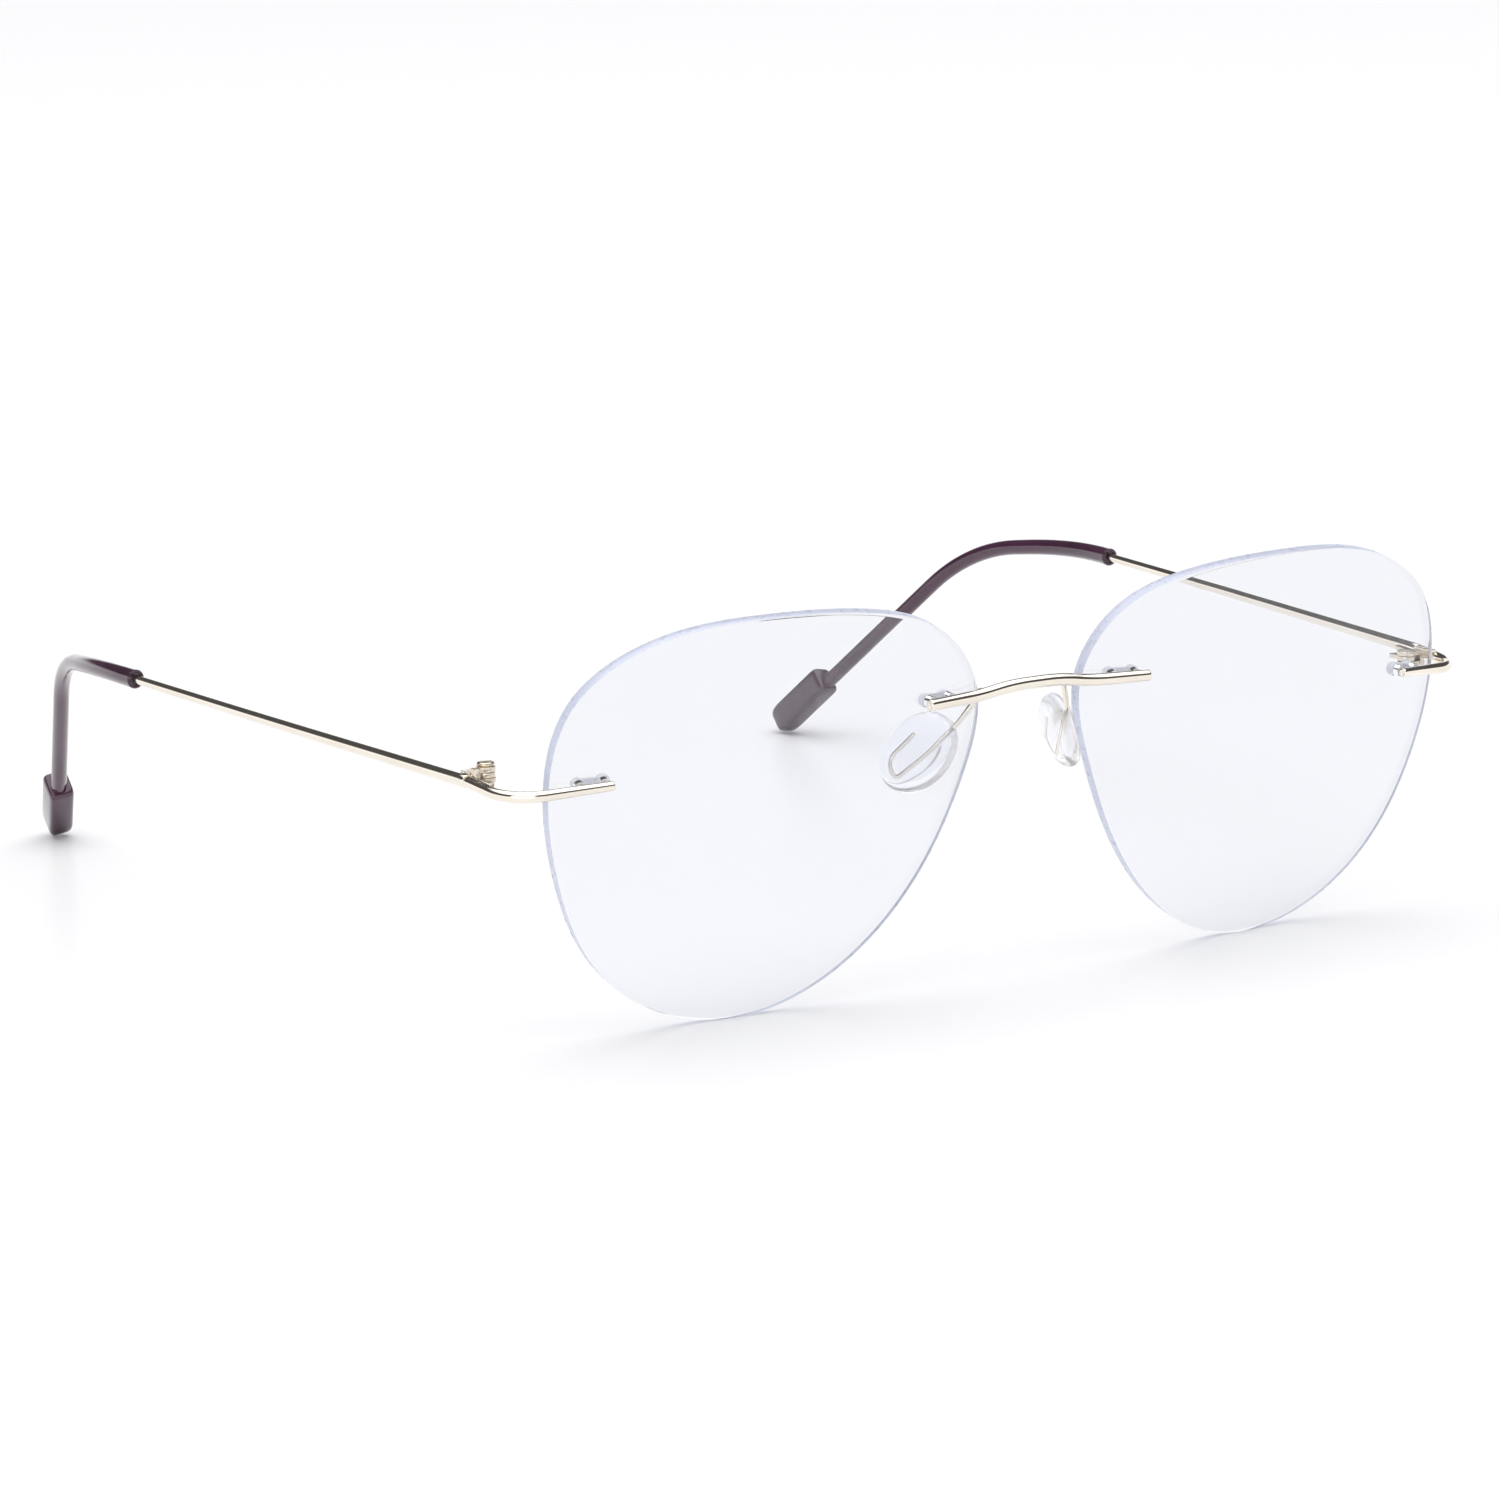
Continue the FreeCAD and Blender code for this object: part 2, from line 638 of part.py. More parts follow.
def make_temple(label, side):
    """The temple wire: a tapering bar back to the sleeve, then a thin core inside it."""
    start, bow, sleeve, bend, knee, drop, reach = temple_route(side)
    start = start + Vector(0, size("joint_gap") / 2, 0)
    bar = add("Part::Ellipse", "temple_section_" + label)
    bar.setExpression("MajorRadius", "Sizes.temple_tall / 2")
    bar.setExpression("MinorRadius", "Sizes.temple_wide / 2")
    bar.Placement = Placement(start, Rotation(Vector(0, 0, 1), Vector(), bow - start, "ZXY"))
    bow_tangent = min((bow - start).Length, (sleeve - bow).Length) * size("bow_reach_share")
    end = round_section("temple_end_section_" + label, "Sizes.temple_end_radius", sleeve, sleeve - bow)
    visible = pipe("temple_bar_" + label, route([start, bow, sleeve], [bow_tangent]), [bar, end])
    tip = knee + drop * (reach + size("drop_length"))
    core_section = round_section("core_section_" + label, "Sizes.core_radius", sleeve, bend - sleeve)
    core = pipe("temple_core_" + label, route([sleeve, bend, knee, tip], [reach, reach]), [core_section])
    return publish(fuse("temple_fused_" + label, [visible, core]), "temple_wire_" + label)


def make_tip(label, side):
    """The plastic tip: a sleeve over the core with a squared knob that rests on the table."""
    _, _, sleeve, bend, knee, drop, reach = temple_route(side)
    neck = knee + drop * (reach + size("drop_length"))
    section = round_section("sleeve_section_" + label, "Sizes.sleeve_front_radius", sleeve, bend - sleeve)
    far = round_section("sleeve_end_section_" + label, "Sizes.sleeve_radius", neck, drop)
    tube = pipe("sleeve_" + label, route([sleeve, bend, knee, neck], [reach, reach]), [section, far])
    name = "knob_" + label
    body = add("PartDesign::Body", name)
    outline = new_sketch(body, name + "_outline", "XY_Plane")
    half_wide = size("knob_wide") / 2
    half_deep = size("knob_deep") / 2
    ring = [Vector(-half_wide, -half_deep, 0), Vector(half_wide, -half_deep, 0),
            Vector(half_wide, half_deep, 0), Vector(-half_wide, half_deep, 0)]
    for start, finish in zip(ring, ring[1:] + ring[:1]):
        outline.addGeometry(Part.LineSegment(start, finish), False)
    block = feature_pad(body, name + "_block", outline, "Sizes.knob_long")
    doc.recompute()
    rounding = body.newObject("PartDesign::Fillet", name + "_rounding")
    rounding.Base = (block, ["Edge%d" % n for n in range(1, len(block.Shape.Edges) + 1)])
    rounding.setExpression("Radius", "Sizes.knob_round")
    upright = facing(drop)
    rise = upright.multVec(Vector(0, size("knob_offset"), 0))
    turn = upright.multiply(Rotation(Vector(0, 0, 1), side * size("knob_turn")))
    body.Placement = Placement(neck - drop * size("knob_round") + rise, turn)
    bore_section = round_section("bore_section_" + label, "Sizes.core_radius + Sizes.sleeve_clear",
                                 sleeve, bend - sleeve)
    tip = neck + drop * size("sleeve_clear")
    bore = pipe("sleeve_bore_" + label, route([sleeve, bend, knee, tip], [reach, reach]), [bore_section])
    doc.recompute()
    publish(cut("tip_cut_" + label, fuse("tip_fused_" + label, [tube, body]), bore), "temple_tip_" + label)


# Directions of a pad on the wearer's left: along its length, down and back, and out of its outer face.
PAD_LENGTH = (0.358, 0.757, -0.546)
PAD_OUTER = (0.928, -0.224, 0.298)


def pad_placement(side):
    """The frame of a nose pad, with X along its length and Z out of its outer face."""
    arch = bridge_points()[1 if side < 0 else 4]
    centre = Vector(side * (size("lens_gap") / 2 + size("pad_from_edge")), size("pad_back"),
                    arch.z - size("pad_below_wire"))
    length, outer = (Vector(side * x, y, z) for x, y, z in (PAD_LENGTH, PAD_OUTER))
    return Placement(centre, Rotation(length, Vector(), outer, "ZXY"))


# The loop of wire inside a pad, as places along and across the pad, and the length of bend at each
# corner of the arm's route, from the bridge to the loop's end.
ARM_LOOP = [(-1.2, -1.1), (4.2, -1.6), (4.2, 1.0), (-0.5, 2.1)]
ARM_TANGENTS = [1.2, 1.5, 1.4, 1.1, 1.1]


def make_pad(label, side, bridge):
    """A soft oval pad moulded round a wire loop, and the arm that carries the loop to the bridge."""
    name = "pad_body_" + label
    body = add("PartDesign::Body", name)
    oval = new_sketch(body, name + "_oval", "XY_Plane")
    half_long = size("pad_long") / 2
    half_wide = size("pad_wide") / 2
    oval.addGeometry(Part.Ellipse(Vector(0, 0, 0), half_long, half_wide), False)
    pad = feature_pad(body, name + "_thick", oval, "Sizes.pad_thick")
    pad.Midplane = True
    doc.recompute()
    rounding = body.newObject("PartDesign::Fillet", name + "_rounding")
    flat = [n for n, edge in enumerate(pad.Shape.Edges, start=1)
            if abs(edge.BoundBox.ZMax - edge.BoundBox.ZMin) < 0.01]
    rounding.Base = (pad, ["Edge%d" % n for n in flat])
    rounding.setExpression("Radius", "Sizes.pad_round")
    frame = pad_placement(side)
    body.Placement = frame
    elbow, arch = bridge_points()[1:3] if side < 0 else bridge_points()[4:2:-1]
    root = elbow + (arch - elbow) * size("arm_root_share")

    def in_pad(along, across):
        return frame.multVec(Vector(along, side * across, 0))

    knee = root + Vector(0, size("arm_back"), -size("arm_sink"))
    entry = in_pad(-half_long - size("arm_entry"), 0.6)
    wire = route([root, knee, entry] + [in_pad(*spot) for spot in ARM_LOOP], ARM_TANGENTS)
    section = round_section("arm_section_" + label, "Sizes.arm_radius", root, knee - root)
    whole = pipe("pad_arm_pipe_" + label, wire, [section])
    doc.recompute()
    arm = publish(cut("pad_arm_cut_" + label, whole, bridge), "pad_arm_" + label)
    publish(cut("nose_pad_cut_" + label, body, arm), "nose_pad_" + label)


bridge = make_bridge()
for label, side in SIDES.items():
    make_lens(label, side)
    endpiece = make_endpiece(label, side)
    temple = make_temple(label, side)
    make_prongs(label, "bridge", side, bridge, "bridge_radius")
    make_prongs(label, "endpiece", side, endpiece, "endpiece_radius")
    make_plug(label, "bridge", side)
    make_plug(label, "endpiece", side)
    make_hinge(label, side, endpiece, temple)
    make_tip(label, side)
    make_pad(label, side, bridge)
doc.recompute()


def check_document():
    """Stop if any object failed, or any sub-part is not one sound shape."""
    for item in doc.Objects:
        if "Invalid" in item.State or "Error" in item.State:
            raise RuntimeError("%s: %s" % (item.Name, item.State))
    for item in sub_parts:
        if item.Shape.isNull() or not item.Shape.isValid() or item.Shape.Volume <= 0:
            raise RuntimeError("%s has no sound shape" % item.Label)


def table_shift():
    """The move that puts the object's box on the table, centred over the origin."""
    box = FreeCAD.BoundBox()
    for item in sub_parts:
        box.add(item.Shape.optimalBoundingBox(True, False))
    return Vector(-(box.XMin + box.XMax) / 2, -(box.YMin + box.YMax) / 2, -box.ZMin)


check_document()
shift = table_shift()
os.makedirs("parts", exist_ok=True)
for item in sub_parts:
    placed = item.Shape.copy()
    placed.translate(shift)
    placed.exportStep("parts/%s.step" % item.Label)
    print("%-26s solids %d volume %9.3f" % (item.Label, len(placed.Solids), placed.Volume))
for label, side in SIDES.items():
    axis = hinge_placement(side).Base + shift
    print("hinge axis %s at %.4f %.4f %.4f" % (label, axis.x, axis.y, axis.z))
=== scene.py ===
# %% [markdown]
# # Rimless eyeglasses
#
# This file builds the visible pieces of a pair of rimless eyeglasses round a frame that already exists.
# The frame holds one plain solid for each part and says which parts fold together. It is measured in
# metres: X runs towards the wearer's left, Y back along the temples, and Z up from the table.

# %% Load the frame
import math

import bpy
import numpy as np
from mathutils import Matrix, Vector


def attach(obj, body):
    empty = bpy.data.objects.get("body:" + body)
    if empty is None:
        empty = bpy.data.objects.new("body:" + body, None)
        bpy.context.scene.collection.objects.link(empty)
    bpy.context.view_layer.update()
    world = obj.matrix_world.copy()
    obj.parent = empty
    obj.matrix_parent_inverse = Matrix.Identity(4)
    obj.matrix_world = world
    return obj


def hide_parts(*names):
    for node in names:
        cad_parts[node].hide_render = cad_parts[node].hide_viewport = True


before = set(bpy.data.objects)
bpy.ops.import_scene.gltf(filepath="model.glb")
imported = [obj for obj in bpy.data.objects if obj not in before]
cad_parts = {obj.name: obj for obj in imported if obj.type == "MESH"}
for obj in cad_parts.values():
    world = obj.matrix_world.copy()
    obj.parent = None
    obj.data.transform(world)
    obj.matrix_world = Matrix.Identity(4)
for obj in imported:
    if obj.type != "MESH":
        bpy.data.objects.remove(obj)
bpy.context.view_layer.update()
MM = 0.001
SIDES = {"right": -1, "left": 1}

# %% [markdown]
# ## Camera
#
# The glasses are small and are looked at from a little above the table, from the wearer's right. A long
# lens keeps the near and far lens close to their true proportions. The camera is turned by the three
# directions that it looks with: to its right, up, and back towards whoever looks.

# %% Camera
AZIMUTH = math.radians(-31.68)
ELEVATION = math.radians(11.46)
ROLL = math.radians(-1.063)
CAMERA_PLACE = (-0.3643, -0.6005, 0.1590)
CAMERA_LENS = 132.96

bpy.ops.object.select_all(action="DESELECT")
bpy.ops.object.camera_add(location=CAMERA_PLACE)
camera = bpy.context.object
camera.name = "camera"
back = Vector((math.sin(AZIMUTH) * math.cos(ELEVATION), -math.cos(AZIMUTH) * math.cos(ELEVATION),
               math.sin(ELEVATION)))
level = Vector((math.cos(AZIMUTH), math.sin(AZIMUTH), 0))
upright = back.cross(level)
right = level * math.cos(ROLL) + upright * math.sin(ROLL)
up = upright * math.cos(ROLL) - level * math.sin(ROLL)
turn = Matrix((right, up, back)).transposed()
camera.rotation_euler = turn.to_euler()
camera.data.sensor_width = 36
camera.data.lens = CAMERA_LENS
camera.data.clip_start = 0.01
bpy.context.scene.camera = camera
print("camera stands", round(camera.location.length, 3), "m away")

# %% [markdown]
# ## Table and light
#
# Clear lenses and polished wire show mostly what is round them, so the light is as much a part of the
# picture as the pieces. The table is white, with very little gloss. Most of the light comes from the sky
# itself. A large lamp overhead gives the soft shadow on the table, and one in front, on the wearer's
# right, fills the near side. The sky is bright low down and overhead, and has a dark belt between, which
# draws the dark line that makes a thin bright wire readable.

# %% Table
bpy.ops.object.select_all(action="DESELECT")
bpy.ops.mesh.primitive_plane_add(size=40, location=(0, 0, 0))
table = bpy.context.object
table.name = "table"

paint = bpy.data.materials.new("white_table")
paint.use_nodes = True
shader = paint.node_tree.nodes["Principled BSDF"]
shader.inputs["Base Color"].default_value = (0.97, 0.97, 0.975, 1)
shader.inputs["Roughness"].default_value = 0.28
shader.inputs["Specular IOR Level"].default_value = 0.06
table.data.materials.append(paint)

# %% Lamps and sky
def lamp(name, place, aim, width, power):
    """A square soft lamp at a place, turned towards a point."""
    bpy.ops.object.select_all(action="DESELECT")
    bpy.ops.object.light_add(type="AREA", location=place)
    light = bpy.context.object
    light.name = name
    light.rotation_euler = (Vector(place) - Vector(aim)).to_track_quat("Z", "Y").to_euler()
    light.data.size = width
    light.data.energy = power
    return light


lamp("overhead_lamp", (0.2, 0.1, 2.0), (0, 0, 0), 3.0, 13)
lamp("front_lamp", (-1.6, -1.1, 0.7), (0, 0, 0.02), 1.6, 9)

sky = bpy.data.worlds.new("studio_sky")
bpy.context.scene.world = sky
sky.use_nodes = True
links = sky.node_tree.links
glow = sky.node_tree.nodes["Background"]
where = sky.node_tree.nodes.new("ShaderNodeTexCoord")
split = sky.node_tree.nodes.new("ShaderNodeSeparateXYZ")
height = sky.node_tree.nodes.new("ShaderNodeMapRange")
height.inputs["From Min"].default_value = -1
belt = sky.node_tree.nodes.new("ShaderNodeValToRGB")
links.new(where.outputs["Generated"], split.inputs["Vector"])
links.new(split.outputs["Z"], height.inputs["Value"])
links.new(height.outputs["Result"], belt.inputs["Fac"])
links.new(belt.outputs["Color"], glow.inputs["Color"])

# Each stop is a height, from 0 straight down to 1 straight up, and how bright the sky is there.
stops = belt.color_ramp.elements
stops[0].position = 0.52
stops[0].color = (0.78, 0.78, 0.78, 1)
stops[1].position = 1.0
stops[1].color = (1, 1, 1, 1)
for position, grey in ((0.585, 0.76), (0.635, 0.05), (0.82, 0.05), (0.87, 0.95)):
    stop = stops.new(position)
    stop.color = (grey, grey, grey * 1.02, 1)
glow.inputs["Strength"].default_value = 1.57
bpy.context.scene.view_settings.view_transform = "Standard"

# %% [markdown]
# ## Materials
#
# Each finish is built from nodes on Object coordinates, so that its grain stays with the piece. The
# number that a whole surface shares is set on the shader itself, and only what varies comes from a node.

# %% Material helper
def finish_for(name, colour, roughness, metallic=0.0):
    """A new material with its shader, and a shorthand to add and join nodes."""
    material = bpy.data.materials.new(name)
    material.use_nodes = True
    tree = material.node_tree
    shader = tree.nodes["Principled BSDF"]
    shader.inputs["Base Color"].default_value = (*colour, 1)
    shader.inputs["Roughness"].default_value = roughness
    shader.inputs["Metallic"].default_value = metallic
    return material, tree, shader


def noise(tree, scale, detail=3.0, stretch=(1, 1, 1)):
    """Noise on the piece's own coordinates, stretched where a finish has a direction."""
    where = tree.nodes.new("ShaderNodeTexCoord")
    mapping = tree.nodes.new("ShaderNodeMapping")
    mapping.inputs["Scale"].default_value = stretch
    texture = tree.nodes.new("ShaderNodeTexNoise")
    texture.inputs["Scale"].default_value = scale
    texture.inputs["Detail"].default_value = detail
    tree.links.new(where.outputs["Object"], mapping.inputs["Vector"])
    tree.links.new(mapping.outputs["Vector"], texture.inputs["Vector"])
    return texture


def vary_roughness(tree, shader, texture, low, high):
    """Roughness that wanders between two values with a texture."""
    span = tree.nodes.new("ShaderNodeMapRange")
    span.inputs["From Min"].default_value = 0.3
    span.inputs["From Max"].default_value = 0.7
    span.inputs["To Min"].default_value = low
    span.inputs["To Max"].default_value = high
    tree.links.new(texture.outputs["Fac"], span.inputs["Value"])
    tree.links.new(span.outputs["Result"], shader.inputs["Roughness"])


def vary_colour(tree, shader, texture, first, second):
    """Colour that wanders between two shades with a texture."""
    shades = tree.nodes.new("ShaderNodeValToRGB")
    shades.color_ramp.elements[0].position = 0.35
    shades.color_ramp.elements[0].color = (*first, 1)
    shades.color_ramp.elements[1].position = 0.65
    shades.color_ramp.elements[1].color = (*second, 1)
    tree.links.new(texture.outputs["Fac"], shades.inputs["Fac"])
    tree.links.new(shades.outputs["Color"], shader.inputs["Base Color"])


def relief(tree, shader, texture, depth, strength):
    """Fine relief on a surface, depth metres deep."""
    bump = tree.nodes.new("ShaderNodeBump")
    bump.inputs["Strength"].default_value = strength
    bump.inputs["Distance"].default_value = depth
    tree.links.new(texture.outputs["Fac"], bump.inputs["Height"])
    tree.links.new(bump.outputs["Normal"], shader.inputs["Normal"])


# %% [markdown]
# ### Clear plastics
#
# The lenses are clear with a trace of blue, and a hard coat hardly softer in one place than another. A
# lens's rim is ground flat and then polished by hand, so it is hazier. Its blue-grey colour is painted
# shade, which stands in for the dark refraction that a glass edge shows. The plugs are clear moulded
# plastic. The nose pads are silicone, which is softer, bends light less and has a faint orange-peel skin.

# %% Clear materials
lens_clear, tree, shader = finish_for("lens_clear", (0.875, 0.885, 0.915), 0.0)
shader.inputs["Transmission Weight"].default_value = 1.0
shader.inputs["IOR"].default_value = 1.5
smear = noise(tree, 60, 4)
vary_roughness(tree, shader, smear, 0.0, 0.012)

# The rim's blue-grey colour and its small random changes of tone are painted shade, standing in for the dark
# refraction in a glass edge.
lens_rim_painted_shade, tree, shader = finish_for("lens_rim_painted_shade", (0.62, 0.65, 0.78), 0.3)
shader.inputs["Transmission Weight"].default_value = 0.08
shader.inputs["IOR"].default_value = 1.5
grind = noise(tree, 900, 4)
vary_roughness(tree, shader, grind, 0.22, 0.4)
vary_colour(tree, shader, noise(tree, 90, 3), (0.60, 0.63, 0.765), (0.64, 0.67, 0.80))

plug_clear, tree, shader = finish_for("plug_clear", (0.90, 0.905, 0.95), 0.3)
shader.inputs["Transmission Weight"].default_value = 0.25
shader.inputs["IOR"].default_value = 1.3
mould = noise(tree, 500, 3)
vary_roughness(tree, shader, mould, 0.2, 0.35)
relief(tree, shader, mould, 0.00003, 0.3)

pad_silicone, tree, shader = finish_for("pad_silicone", (0.93, 0.94, 0.975), 0.09)
shader.inputs["Transmission Weight"].default_value = 0.85
shader.inputs["IOR"].default_value = 1.28
skin = noise(tree, 700, 3)
vary_roughness(tree, shader, skin, 0.06, 0.12)
relief(tree, shader, skin, 0.00002, 0.15)

# %% [markdown]
# ### Metals and the dark plastic
#
# All the wire is polished and plated a pale gold. Drawing and polishing leave very fine lines and small
# changes of gloss. The hinges are cast or pressed, then plated, so they are a little duller. The tips
# are a glossy dark plum plastic that lets a little light through, under a clear gloss.

# %% Metals and tip plastic
gold_wire, tree, shader = finish_for("gold_wire", (0.86, 0.80, 0.71), 0.09, 1.0)
polish = noise(tree, 800, 4)
vary_roughness(tree, shader, polish, 0.05, 0.14)
vary_colour(tree, shader, noise(tree, 120, 2), (0.84, 0.775, 0.68), (0.89, 0.835, 0.75))
relief(tree, shader, polish, 0.000006, 0.25)

hinge_gold, tree, shader = finish_for("hinge_gold", (0.80, 0.72, 0.60), 0.16, 1.0)
grain = noise(tree, 1500, 4)
vary_roughness(tree, shader, grain, 0.12, 0.26)
vary_colour(tree, shader, noise(tree, 300, 3), (0.74, 0.655, 0.54), (0.84, 0.77, 0.66))
relief(tree, shader, grain, 0.000004, 0.2)

screw_steel, tree, shader = finish_for("screw_steel", (0.68, 0.58, 0.47), 0.16, 1.0)
turning = noise(tree, 2500, 3)
vary_roughness(tree, shader, turning, 0.12, 0.24)
vary_colour(tree, shader, noise(tree, 500, 2), (0.62, 0.52, 0.41), (0.74, 0.65, 0.54))

tip_plastic, tree, shader = finish_for("tip_plastic", (0.06, 0.018, 0.045), 0.14)
shader.inputs["IOR"].default_value = 1.5
shader.inputs["Coat Weight"].default_value = 0.6
shader.inputs["Coat Roughness"].default_value = 0.05
shader.inputs["Transmission Weight"].default_value = 0.2
swirl = noise(tree, 150, 4)
vary_colour(tree, shader, swirl, (0.048, 0.014, 0.036), (0.075, 0.023, 0.056))
vary_roughness(tree, shader, noise(tree, 900, 3), 0.08, 0.18)

# %% [markdown]
# ## How the pieces are made
#
# Each piece starts from a primitive or a curve, is shaped, and becomes one mesh whose object sits at
# the origin. The last step is the same for all: outward faces, smooth shading except at real edges, the
# material, and the body that it moves with.

# %% Making helpers
def start_clean():
    """Leave edit mode and select nothing, so that the next operator acts on its own piece only."""
    if bpy.context.object and bpy.context.object.mode != "OBJECT":
        bpy.ops.object.mode_set(mode="OBJECT")
    bpy.ops.object.select_all(action="DESELECT")


def take(piece):
    """Make one piece the selected and active one."""
    start_clean()
    piece.select_set(True)
    bpy.context.view_layer.objects.active = piece


def pick_faces(piece, test):
    """Go into edit mode with only the faces that pass the test selected, and say how many."""
    take(piece)
    bpy.ops.object.mode_set(mode="EDIT")
    bpy.ops.mesh.select_mode(type="FACE")
    bpy.ops.mesh.select_all(action="DESELECT")
    bpy.ops.object.mode_set(mode="OBJECT")
    chosen = 0
    for face in piece.data.polygons:
        face.select = test(face)
        chosen += face.select
    bpy.ops.object.mode_set(mode="EDIT")
    return chosen


def soften(piece, width, segments=3, angle=50):
    """Round every edge sharper than an angle."""
    take(piece)
    bevel = piece.modifiers.new("soften", "BEVEL")
    bevel.width = width * MM
    bevel.segments = segments
    bevel.limit_method = "ANGLE"
    bevel.angle_limit = math.radians(angle)
    bpy.ops.object.modifier_apply(modifier=bevel.name)


def combine(piece, others, how="UNION"):
    """Join or cut a piece with others, which are used up."""
    for other in others:
        take(piece)
        change = piece.modifiers.new("combine", "BOOLEAN")
        change.operation = how
        change.solver = "EXACT"
        change.object = other
        bpy.ops.object.modifier_apply(modifier=change.name)
        bpy.data.objects.remove(other)


def set_piece(piece, name, body, nodes, materials, smooth=40):
    """The last step of every piece. Clear pieces cast no shadow, so the table under them stays bright."""
    take(piece)
    bpy.ops.object.transform_apply(location=True, rotation=True, scale=True)
    bpy.ops.object.mode_set(mode="EDIT")
    bpy.ops.mesh.select_all(action="SELECT")
    bpy.ops.mesh.normals_make_consistent(inside=False)
    bpy.ops.object.mode_set(mode="OBJECT")
    bpy.ops.object.shade_smooth_by_angle(angle=math.radians(smooth))
    piece.name = name
    piece.data.name = name
    chosen = [face.material_index for face in piece.data.polygons]
    piece.data.materials.clear()
    for material in materials:
        piece.data.materials.append(material)
    for face, index in zip(piece.data.polygons, chosen):
        face.material_index = min(index, len(materials) - 1)
    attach(piece, body)
    if nodes:
        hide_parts(*nodes)
    if materials[0] in (lens_clear, plug_clear, pad_silicone):
        piece.visible_shadow = False
    print(name, "has", len(piece.data.polygons), "faces")
    return piece


# %% Primitives at their size
def block(low, high):
    """A cube stretched between two corners."""
    start_clean()
    middle = [(a + b) / 2 for a, b in zip(low, high)]
    bpy.ops.mesh.primitive_cube_add(size=1, location=middle)
    piece = bpy.context.object
    piece.scale = [b - a for a, b in zip(low, high)]
    bpy.ops.object.transform_apply(location=True, rotation=True, scale=True)
    return piece


def barrel(radius, low, high, across=(0, 0), around=40):
    """An upright round bar between two heights."""
    start_clean()
    spot = (across[0], across[1], (low + high) / 2)
    bpy.ops.mesh.primitive_cylinder_add(vertices=around, radius=radius, depth=high - low, location=spot)
    bpy.ops.object.transform_apply(location=True, rotation=True, scale=True)
    return bpy.context.object


# %% [markdown]
# ## Lenses
#
# A lens starts as a round meniscus: its front lies on one ball and its back on a smaller ball with the
# same centre. It is then edged to a pilot shape. Here the rim comes first. A circle's points are put on
# the pilot outline, rings are extruded inwards, and the net is then laid on the front ball. Its copy is
# laid on the back ball, and the two are bridged by the rim.

# %% Pilot outline
LENS_WIDTH = 56.0
LENS_HEIGHT = 49.7
LENS_THICK = 1.5
FRONT_BALL = 108.0

# Shares of half the width and half the height, from the temple side over the top.
OUTLINE = [
    (1.00, 0.22), (0.92, 0.62), (0.62, 0.89), (0.03, 1.00), (-0.47, 0.96), (-0.80, 0.82),
    (-1.00, 0.48), (-0.95, 0.12), (-0.73, -0.42), (-0.42, -0.80), (-0.02, -0.995),
    (0.34, -0.955), (0.73, -0.66), (0.94, -0.18),
]


def smooth_ring(marks, count):
    """Evenly spread points on the smoothest closed curve through the marks."""
    marks = np.array(marks)
    total = len(marks)
    step = np.linalg.norm(np.roll(marks, -1, axis=0) - marks, axis=1)
    slopes = np.zeros((total, total))
    pull = np.zeros((total, 2))
    for i in range(total):
        before, after = step[i - 1], step[i]
        slopes[i, i - 1] += after
        slopes[i, i] += 2 * (before + after)
        slopes[i, (i + 1) % total] += before
        pull[i] = 3 * (after * (marks[i] - marks[i - 1]) / before
                       + before * (marks[(i + 1) % total] - marks[i]) / after)
    lean = np.linalg.solve(slopes, pull)
    points = []
    for at in np.linspace(0, step.sum(), count, endpoint=False):
        i = int(np.searchsorted(np.cumsum(step), at, side="right"))
        t = (at - step[:i].sum()) / step[i]
        j = (i + 1) % total
        start = 2 * t ** 3 - 3 * t ** 2 + 1
        start_lean = (t ** 3 - 2 * t ** 2 + t) * step[i]
        finish = 3 * t ** 2 - 2 * t ** 3
        finish_lean = (t ** 3 - t ** 2) * step[i]
        points.append(start * marks[i] + start_lean * lean[i] + finish * marks[j] + finish_lean * lean[j])
    return points


rim_points = smooth_ring([(u * LENS_WIDTH / 2, v * LENS_HEIGHT / 2) for u, v in OUTLINE], 180)
rim_span = np.ptp(np.array(rim_points), axis=0)
print("rim spans", round(rim_span[0], 2), "by", round(rim_span[1], 2))

# %% Where things sit
LENS_MIDDLE = (35.5, -73.464, 23.826)
LENS_LEAN = math.radians(11.4)
LENS_WRAP = math.radians(3.3)

# How far each mount lies in from the lens's edge, and how far above its middle.
BRIDGE_MOUNT = (5.7, 12.3)
ENDPIECE_MOUNT = (5.0, 6.7)
ENDPIECE_SLOPE = math.radians(6.5)


def lens_frame(side):
    """The lens's own frame: origin in the middle of its front, leaning forward at the bottom."""
    lean = Matrix.Rotation(LENS_LEAN, 4, "X")
    wrap = Matrix.Rotation(side * LENS_WRAP, 4, "Z")
    return Matrix.Translation(Vector((side * LENS_MIDDLE[0], *LENS_MIDDLE[1:]))) @ lean @ wrap


def axes_frame(origin, along, across, through):
    """A frame from its origin and three directions."""
    turn = Matrix((Vector(along), Vector(across), Vector(through))).transposed().to_4x4()
    return Matrix.Translation(Vector(origin)) @ turn


def mount_frame(mount, side):
    """A drilled mount on the front of a lens: X along its wire, away from the lens's middle, Z back."""
    if mount == "bridge":
        outward, slope = -side, 0.0
        inset, up = BRIDGE_MOUNT
    else:
        outward, slope = side, ENDPIECE_SLOPE
        inset, up = ENDPIECE_MOUNT
    across = outward * (LENS_WIDTH / 2 - inset)
    sag = FRONT_BALL - math.sqrt(FRONT_BALL ** 2 - across ** 2 - up ** 2)
    point = Vector((across, sag, up))
    through = (Vector((0, FRONT_BALL, 0)) - point).normalized()
    along = Vector((outward * math.cos(slope), 0, -math.sin(slope)))
    along = (along - through * along.dot(through)).normalized()
    return lens_frame(side) @ axes_frame(point, along, through.cross(along), through)


def place(piece, where):
    """Move a piece drawn in millimetres round the origin to its frame, and make it metres."""
    take(piece)
    piece.matrix_world = Matrix.Scale(MM, 4) @ where @ piece.matrix_world
    bpy.ops.object.transform_apply(location=True, rotation=True, scale=True)


